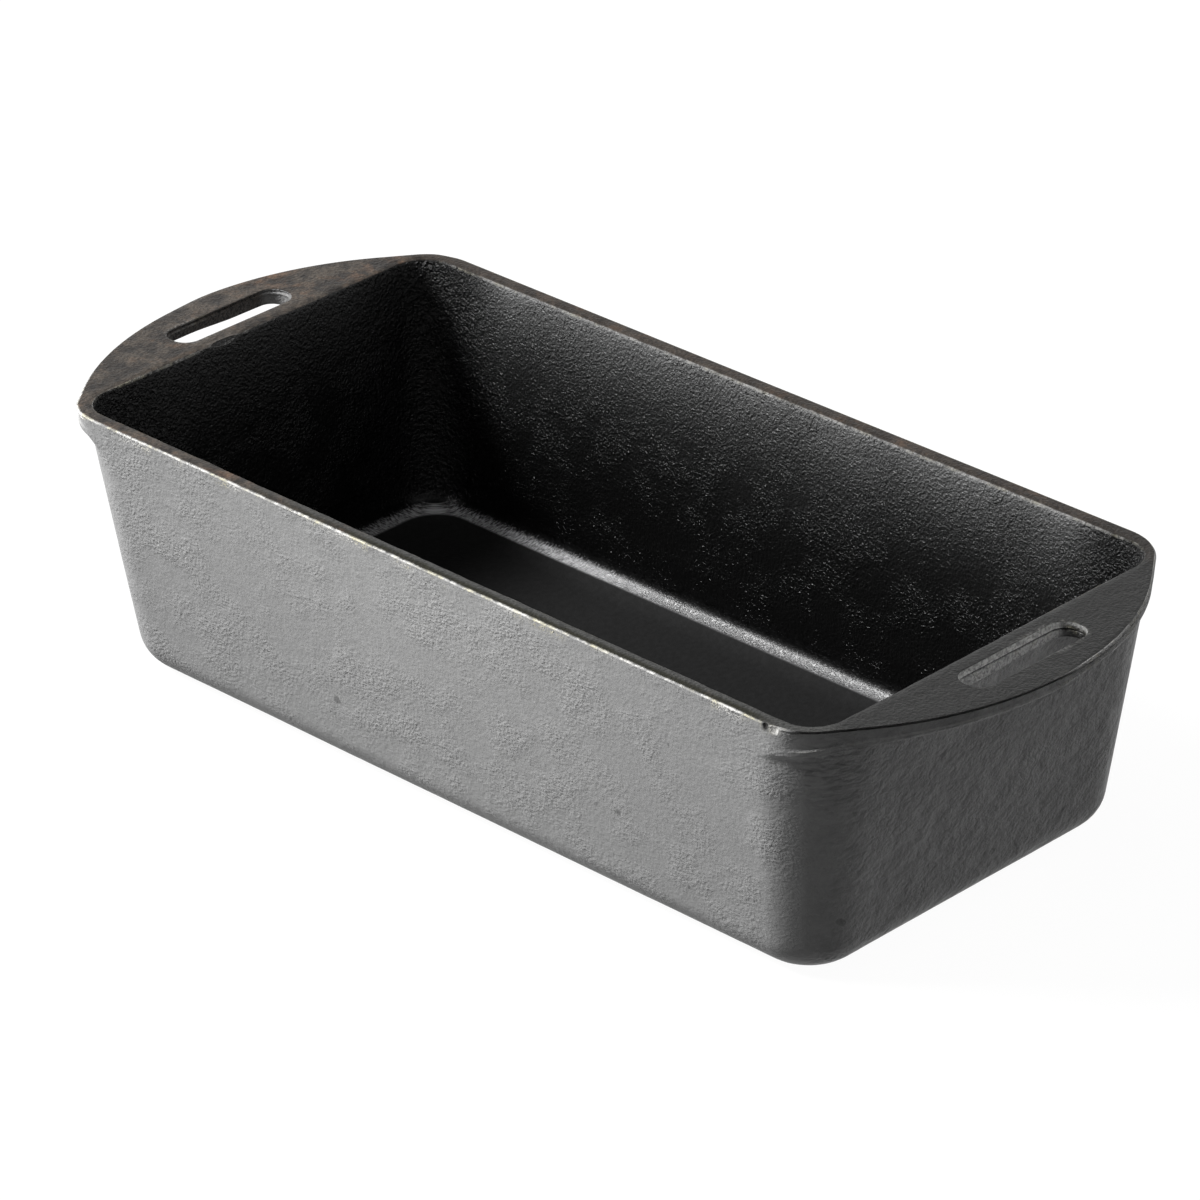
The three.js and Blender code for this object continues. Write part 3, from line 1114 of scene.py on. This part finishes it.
def sand_clusters(graph, place, z, mask):
    """Where sand grains stand out of the walls: in clusters, more of them higher up and in the corners."""
    cluster = graph.step(graph.noise(place, size=11 * mm, seed=15.0, detail=3.0), 0.40, 0.64, start=0.2)
    cluster = graph.times(cluster, graph.step(z, *cluster_rise, start=0.35))
    return graph.larger(cluster, graph.times(mask["corner"], corner_sand_share))


def floor_highlight_line(graph, place, z):
    """The key lamp's highlight round the floor's edge, glossy and painted pale: sharp below, frayed above,
    with its bristles and streaks.
    """
    lengthwise = graph.add("ShaderNodeVectorMath", {0: place, 1: line_slant}, operation="DOT_PRODUCT")
    lengthwise = lengthwise.outputs["Value"]
    squeezed_up = graph.times(z, bristle_squeeze)
    squeezed_along = graph.times(lengthwise, streak_squeeze)
    upright = graph.add("ShaderNodeCombineXYZ", {0: lengthwise, 1: squeezed_up}).outputs[0]
    level = graph.add("ShaderNodeCombineXYZ", {0: squeezed_along, 1: z}).outputs[0]
    bristle = graph.noise(upright, size=0.5 * mm, seed=12.0, detail=3.0, roughness=0.7)
    streak = graph.noise(level, size=0.5 * mm, seed=22.0, detail=3.0, roughness=0.7)
    frayed = graph.minus(z, graph.times(graph.centred(bristle), line_fray))
    line = graph.times(graph.step(z, *line_foot), graph.step(frayed, *line_top, start=1.0, end=0.0))
    return line, bristle, streak


# The rim's ground face: where it is brown, olive or dark
ground_dark = (0.017, 0.017, 0.0165, 1)
ground_front = (0.042, 0.042, 0.040, 1)
ground_olive = (0.010, 0.0095, 0.004, 1)
ground_behind = (0.022, 0.016, 0.012, 1)
rust_dark = (0.022, 0.019, 0.017, 1)
rust_brown = (0.062, 0.052, 0.043, 1)
rust_red = (0.11, 0.066, 0.042, 1)
scratch_black = grey(0.008)
rusty_left = (-105 * mm, 20 * mm)
rusty_back = (20 * mm, 60 * mm)
clean_right = (95 * mm, 122 * mm)
olive_edge = (-61.6 * mm, -60.2 * mm)
olive_end = (108 * mm, 118 * mm)
olive_wander = 2 * mm
front_rim = (-57 * mm, -52 * mm)
back_rim = (52 * mm, 57 * mm)
red_blotch_share = 0.4
ground_roughness = (0.34, 0.60)
olive_roughness = 0.75
scratch_depth = 0.35
blotch_depth = 0.5


def ground_skin(graph, place, mask):
    """The rim's ground face: dark, olive along the front edge, mottled brown at left and behind."""
    x, y, _ = graph.axes(place)
    patch = graph.noise(place, size=14 * mm, seed=7.0, detail=5.0, roughness=0.65)
    blotch = graph.noise(place, size=5 * mm, seed=13.0, detail=4.0, roughness=0.6)
    scratch = graph.noise(place, size=0.8 * mm, seed=8.0, detail=2.0)
    left = graph.step(x, *rusty_left, start=0.5, end=0.0)
    back = graph.step(y, *rusty_back, end=0.4)
    right = graph.step(x, *clean_right, end=-0.6)
    rustier = graph.plus(graph.plus(left, back), right)
    rusty = graph.step(graph.plus(patch, rustier), 0.55, 0.95)
    reddened = graph.step(graph.plus(patch, graph.times(blotch, red_blotch_share)), 0.70, 0.90, end=0.8)
    rust = graph.mix_colour(graph.step(blotch, 0.38, 0.62), rust_dark, rust_brown)
    rust = graph.mix_colour(reddened, rust, rust_red)
    olive = graph.step(graph.plus(y, graph.times(blotch, olive_wander)), *olive_edge, start=1.0, end=0.0)
    olive = graph.times(olive, graph.step(x, *olive_end, start=1.0, end=0.0))
    seasoned = graph.mix_colour(graph.step(y, *front_rim, start=1.0, end=0.0), ground_dark, ground_front)
    colour = graph.lay(
        seasoned,
        (olive, ground_olive),
        (rusty, rust),
        (graph.step(y, *back_rim, end=0.5), ground_behind),
        (graph.step(scratch, 0.35, 0.7, end=0.6), scratch_black),
    )
    roughness = graph.mix(olive, graph.mix(blotch, *ground_roughness), olive_roughness)
    relief = graph.plus(graph.times(scratch, scratch_depth), graph.times(blotch, blotch_depth))
    return colour, roughness, relief


# Bare iron, which also paints highlights on edges, and painted shadow in nicks
bare_and_highlight_dark = (0.42, 0.415, 0.40, 1)
# The palest grey also stands for light caught on rounded edges, as a painted highlight
bare_and_highlight_pale = (0.80, 0.79, 0.76, 1)
bare_olive = (0.50, 0.47, 0.33, 1)
# Painted shadow in the nick
nick_shadow_dark = grey(0.006)
nick_shadow_pale = (0.025, 0.024, 0.023, 1)
bare_roughness = (0.35, 0.5)
nick_roughness = (0.6, 0.8)
bare_depth = 0.3
nick_depth = 0.3


def bare_and_highlight_skin(graph, place, mask):
    """Bare grey iron, where the skin is rubbed or broken off and where edges are painted pale as
    highlights, stained olive on the edges here and there.
    """
    mottle = graph.noise(place, size=0.8 * mm, seed=10.0, detail=2.0)
    stain = graph.step(graph.noise(place, size=5 * mm, seed=20.0, detail=2.0), 0.45, 0.62, end=0.8)
    stain = graph.times(stain, graph.minus(1.0, mask["bare"]))
    colour = graph.mix_colour(stain, graph.mix_colour(mottle, bare_and_highlight_dark, bare_and_highlight_pale), bare_olive)
    roughness = graph.mix(mottle, *bare_roughness)
    relief = graph.times(mottle, bare_depth)
    return colour, roughness, relief


def nick_shadow_skin(graph, place, mask):
    """Dark painted shadow in a nick."""
    nick_mottle = graph.noise(place, size=1 * mm, seed=14.0, detail=2.0)
    colour = graph.mix_colour(nick_mottle, nick_shadow_dark, nick_shadow_pale)
    roughness = graph.mix(nick_mottle, *nick_roughness)
    relief = graph.times(nick_mottle, nick_depth)
    return colour, roughness, relief


# Studio

camera_azimuth = math.radians(45.35)
camera_elevation = math.radians(27.90)
camera_distance = 1.6027
camera_roll = math.radians(-1.418)
camera_slide = (-2.75 * mm, 33.9 * mm)
camera_lens = 193.95
camera_sensor = 36


def direction(azimuth, elevation):
    """From the pan towards something at an azimuth and elevation: azimuth 0 lies at -Y, 90 at +X."""
    flat = math.cos(elevation)
    return Vector((math.sin(azimuth) * flat, -math.cos(azimuth) * flat, math.sin(elevation)))


def add_camera():
    back = direction(camera_azimuth, camera_elevation)
    level = Vector((math.cos(camera_azimuth), math.sin(camera_azimuth), 0))
    upright = back.cross(level)
    right = level * math.cos(camera_roll) + upright * math.sin(camera_roll)
    up = upright * math.cos(camera_roll) - level * math.sin(camera_roll)
    data = bpy.data.cameras.new("camera")
    data.lens = camera_lens
    data.sensor_width = camera_sensor
    camera = show("camera", data)
    turned = Matrix((right, up, back)).transposed().to_4x4()
    turned.translation = back * camera_distance + right * camera_slide[0] + up * camera_slide[1]
    camera.matrix_world = turned
    bpy.context.scene.camera = camera


def add_softbox(name, azimuth, elevation, distance, width, tall, power):
    """A rectangular lamp that faces the pan."""
    data = bpy.data.lights.new(name, "AREA")
    data.shape = "RECTANGLE"
    data.size = width
    data.size_y = tall
    data.energy = power
    lamp = show(name, data)
    towards = direction(math.radians(azimuth), math.radians(elevation))
    lamp.location = towards * distance + Vector((0, 0, height / 2))
    lamp.rotation_mode = "QUATERNION"
    lamp.rotation_quaternion = towards.to_track_quat("Z", "Y")


def seen_directly(graph):
    """1 for rays that show the floor itself: from the camera, in reflections and through clear things."""
    path = graph.add("ShaderNodeLightPath").outputs
    seen = graph.larger(path["Is Camera Ray"], path["Is Glossy Ray"])
    return graph.larger(seen, path["Is Transmission Ray"])


fill_light = 0.066
ceiling_light = 0.08
ceiling_from = math.sin(math.radians(10))
ceiling_to = math.sin(math.radians(50))
floor_glow = 0.965
floor_grey = 0.05
floor_reach = 20


def add_world():
    """White to look at, dark overhead in reflections, with only a faint fill of light."""
    world = bpy.data.worlds.new("studio")
    graph = empty_graph(world)
    path = graph.add("ShaderNodeLightPath").outputs
    toward = graph.add("ShaderNodeTexCoord").outputs["Generated"]
    up = graph.axes(toward)[2]
    reflected = graph.step(up, ceiling_from, ceiling_to, start=1.0, end=ceiling_light)
    strength = graph.mix(path["Is Glossy Ray"], fill_light, reflected)
    strength = graph.mix(graph.larger(path["Is Camera Ray"], path["Is Transmission Ray"]), strength, 1.0)
    glow = graph.add("ShaderNodeBackground", {"Color": grey(1), "Strength": strength})
    graph.add("ShaderNodeOutputWorld", {0: glow.outputs[0]})
    bpy.context.scene.world = world


def add_floor():
    """A pale floor that keeps the pan's shadow, and can be looked through from below."""
    corners = [(x * floor_reach, y * floor_reach, 0) for x, y in ((-1, -1), (1, -1), (1, 1), (-1, 1))]
    floor = mesh_object("floor", corners, [(0, 1, 2, 3)])
    material = bpy.data.materials.new("pale_floor")
    graph = empty_graph(material)
    matt = graph.add("ShaderNodeBsdfDiffuse", {"Color": grey(floor_grey)})
    strength = graph.times(seen_directly(graph), floor_glow)
    glow = graph.add("ShaderNodeEmission", {"Color": grey(1), "Strength": strength})
    top = graph.add("ShaderNodeAddShader", {0: matt.outputs[0], 1: glow.outputs[0]})
    clear = graph.add("ShaderNodeBsdfTransparent")
    below = graph.add("ShaderNodeNewGeometry").outputs["Backfacing"]
    both = graph.add("ShaderNodeMixShader", {0: below, 1: top.outputs[0], 2: clear.outputs[0]})
    graph.add("ShaderNodeOutputMaterial", {0: both.outputs[0]})
    floor.data.materials.append(material)


# The finished pan

sharp_edge_angle = math.radians(40)


def make_casting():
    """The whole casting with its slots, chips, skin and finish."""
    casting = casting_object()
    tree = BVHTree.FromObject(casting, bpy.context.evaluated_depsgraph_get())
    for side in (1, -1):
        cut(casting, slot_core(side, tree))
    for seed, (place, half_sizes, _) in enumerate(chips):
        cut(casting, chip_cutter(place, half_sizes, seed))
    mark_regions(casting)
    press_skin(casting, iron_finish())
    return casting


def keep_normals(casting):
    """Stores the shading normals, sharp only where faces meet at an edge, so that parts shade as one."""
    mesh = casting.data
    mesh.polygons.foreach_set("use_smooth", [True] * len(mesh.polygons))
    mesh.set_sharp_from_angle(angle=sharp_edge_angle)
    normals = read_vectors(mesh.corner_normals, "vector")
    stored = mesh.attributes.new("skin_normal", "FLOAT_VECTOR", "CORNER")
    stored.data.foreach_set("vector", normals.ravel())


def part_off(casting, name, low_x, high_x):
    """The casting between two upright planes, closed where it is parted."""
    part = bmesh.new()
    part.from_mesh(casting.data)
    for plane_x, outwards in ((low_x, -1), (high_x, 1)):
        if plane_x is None:
            continue
        parted = bmesh.ops.bisect_plane(
            part, geom=[*part.verts, *part.edges, *part.faces], plane_co=(plane_x, 0, 0),
            plane_no=(outwards, 0, 0), clear_outer=True)
        rim = [item for item in parted["geom_cut"] if isinstance(item, bmesh.types.BMEdge)]
        caps = bmesh.ops.edgenet_fill(part, edges=rim)["faces"]
        for cap in caps:
            cap.smooth = False
            cap.normal_update()
            if cap.normal.x * outwards < 0:
                cap.normal_flip()
    bmesh.ops.triangulate(part, faces=part.faces)
    mesh = bpy.data.meshes.new(name)
    part.to_mesh(mesh)
    part.free()
    mesh.materials.append(casting.data.materials[0])
    smooth_normals(mesh)
    return show(name, mesh)


def smooth_normals(mesh):
    """Sets the stored normals at the corners of all faces but the flat caps."""
    normals = read_vectors(mesh.attributes["skin_normal"].data, "vector")
    for face in mesh.polygons:
        if not face.use_smooth:
            normals[list(face.loop_indices)] = face.normal
    mesh.attributes.remove(mesh.attributes["skin_normal"])
    mesh.normals_split_custom_set(normals.tolist())


add_camera()
add_softbox("key", azimuth=-54, elevation=42, distance=2.6, width=1.15, tall=0.6, power=162)
add_softbox("back", azimuth=142, elevation=42, distance=2.6, width=1.2, tall=0.9, power=10)
add_softbox("top", azimuth=45, elevation=80, distance=2.2, width=0.8, tall=0.8, power=9)
add_softbox("glint", azimuth=-5, elevation=32, distance=2.0, width=0.15, tall=0.15, power=1.6)
add_world()
add_floor()

casting = make_casting()
keep_normals(casting)
pieces = {
    "pan_body": part_off(casting, "pan_casting", -slot_centre_x, slot_centre_x),
    "left_handle": part_off(casting, "left_handle_bar", None, -slot_centre_x),
    "right_handle": part_off(casting, "right_handle_bar", slot_centre_x, None),
}
bpy.data.objects.remove(casting)
for node, piece in pieces.items():
    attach(piece, "root")
    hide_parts(node)

bpy.context.scene.view_settings.view_transform = "Standard"
